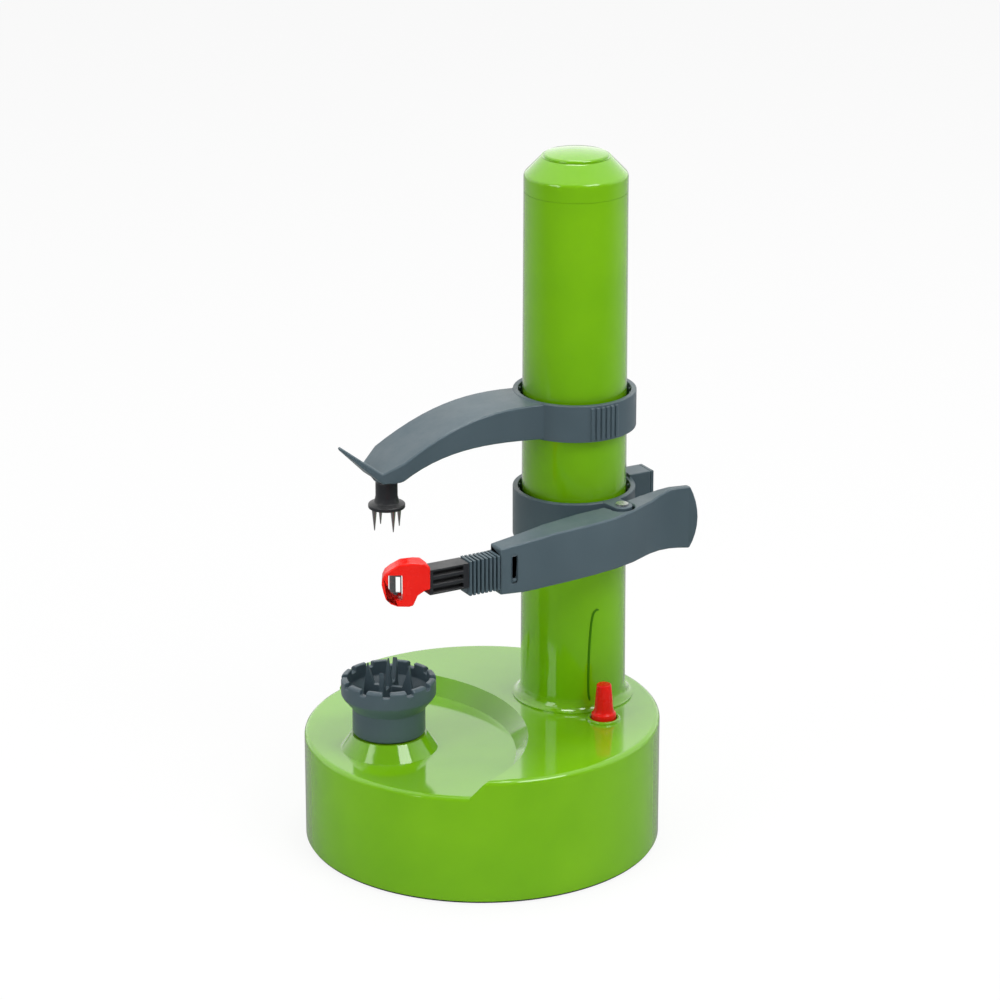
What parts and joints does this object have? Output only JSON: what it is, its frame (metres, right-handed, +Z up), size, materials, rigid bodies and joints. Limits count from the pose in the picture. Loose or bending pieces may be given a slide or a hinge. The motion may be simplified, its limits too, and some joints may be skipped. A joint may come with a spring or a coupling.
{
  "type": "electric potato peeler",
  "caption": "Table-top electric fruit and vegetable peeler: round base with a spinning food holder, a column with a sliding top arm and a lever that carries the peeling blade.",
  "frame": {"origin": "centre of the underside, on the surface the peeler stands on", "axes": "+Z up, +X from the food holder towards the column, -Y the side of the start button and lever"},
  "size_m": [0.1575, 0.148, 0.289],
  "materials": {
    "green_plastic": "glossy",
    "slate_plastic": "satin",
    "black_plastic": "satin",
    "red_plastic": "glossy",
    "rubber_feet": "matte",
    "steel": "brushed",
    "blade_steel": "polished",
    "motor_can": "plated",
    "brass": "satin",
    "white_plastic": "satin",
    "battery_wrap": "glossy",
    "wire_insulation": "satin"
  },
  "bodies": {
    "base": {"base_shell": "green_plastic", "bottom_cover": "black_plastic", "battery_door": "green_plastic", "feet": "rubber_feet", "cover_screws": "steel", "batteries": "battery_wrap", "battery_contacts": "steel", "dc_jack": "black_plastic", "wires": "wire_insulation", "power_switch": "black_plastic", "gear_plate": "white_plastic", "gear_plate_screws": "steel", "gear_axles": "steel", "motor": "motor_can", "screw_bush_lower": "brass", "screw_bush_upper": "brass", "holder_bush": "brass", "column_tube": "green_plastic", "column_screws": "steel", "column_cap": "green_plastic", "cap_disc": "green_plastic", "button_spring": "steel"},
    "motor_drive": {"motor_pinion": "brass"},
    "idler": {"idler_gear": "white_plastic"},
    "center": {"center_gear": "white_plastic"},
    "screw": {"lead_screw": "steel", "screw_gear": "white_plastic"},
    "holder": {"holder_gear": "white_plastic", "holder_cup": "slate_plastic", "cup_prongs": "slate_plastic"},
    "button": {"start_button": "red_plastic", "button_clip": "steel"},
    "arm": {"top_arm": "slate_plastic", "arm_key": "slate_plastic", "arm_key_screws": "steel", "spindle_pin": "steel"},
    "spindle": {"spindle_hub": "black_plastic", "spindle_prongs": "steel"},
    "carriage_slide_body": {"carriage": "slate_plastic", "nut_cover": "slate_plastic", "lever_pin": "steel", "nut_spring": "steel", "lever_spring": "steel"},
    "nut": {"half_nut": "brass"},
    "lever": {"peel_lever": "slate_plastic", "blade_neck": "slate_plastic", "louvre_block": "black_plastic", "blade_holder": "red_plastic"},
    "blade": {"peel_blade": "blade_steel"}
  },
  "joints": [
    {"name": "screw_spin", "type": "hinge", "parent": "base", "child": "screw", "pos_m": [0.0435, 0, 0.1], "axis": [0, 0, 1], "continuous": true},
    {"name": "center_spin", "type": "hinge", "parent": "base", "child": "center", "pos_m": [0, 0, 0.032], "axis": [0, 0, 1], "continuous": true},
    {"name": "holder_spin", "type": "hinge", "parent": "base", "child": "holder", "pos_m": [-0.0435, 0, 0.04], "axis": [0, 0, 1], "continuous": true},
    {"name": "idler_spin", "type": "hinge", "parent": "base", "child": "idler", "pos_m": [0.0175, 0.03031, 0.03], "axis": [0, 0, 1], "continuous": true},
    {"name": "motor_spin", "type": "hinge", "parent": "base", "child": "motor_drive", "pos_m": [-0.00165, 0.04638, 0.03], "axis": [0, 0, 1], "continuous": true},
    {"name": "button_press", "type": "slide", "parent": "base", "child": "button", "axis": [0, 0, 1], "range_m": [-0.0025, 0], "stiffness_N_per_m": 600, "springref_m": 0.001, "deforming": ["button_spring"]},
    {"name": "top_arm_slide", "type": "slide", "parent": "base", "child": "arm", "axis": [0, 0, 1], "range_m": [-0.01, 0.06]},
    {"name": "spindle_spin", "type": "hinge", "parent": "arm", "child": "spindle", "pos_m": [-0.0435, 0, 0.155], "axis": [0, 0, 1], "continuous": true},
    {"name": "carriage_travel", "type": "slide", "parent": "base", "child": "carriage_slide_body", "axis": [0, 0, 1], "range_m": [-0.043, 0.012]},
    {"name": "nut_release", "type": "slide", "parent": "carriage_slide_body", "child": "nut", "axis": [1, 0, 0], "range_m": [0, 0.003], "stiffness_N_per_m": 300, "springref_m": -0.001, "deforming": ["nut_spring"]},
    {"name": "lever_swing", "type": "hinge", "parent": "carriage_slide_body", "child": "lever", "pos_m": [0.048, -0.0315, 0.135], "axis": [0, 0, 1], "range_deg": [-12, 12], "stiffness_Nm_per_rad": 0.15, "deforming": ["lever_spring"]},
    {"name": "blade_rock", "type": "hinge", "parent": "lever", "child": "blade", "pos_m": [-0.05942, -0.03806, 0.13], "axis": [0, 0, 1], "range_deg": [-8, 8]}
  ],
  "couplings": [
    {"joint": "center_spin", "follows": "screw_spin", "ratio": -1.0233},
    {"joint": "holder_spin", "follows": "screw_spin", "ratio": 1},
    {"joint": "idler_spin", "follows": "screw_spin", "ratio": 6.1395},
    {"joint": "motor_spin", "follows": "screw_spin", "ratio": -24.558}
  ]
}
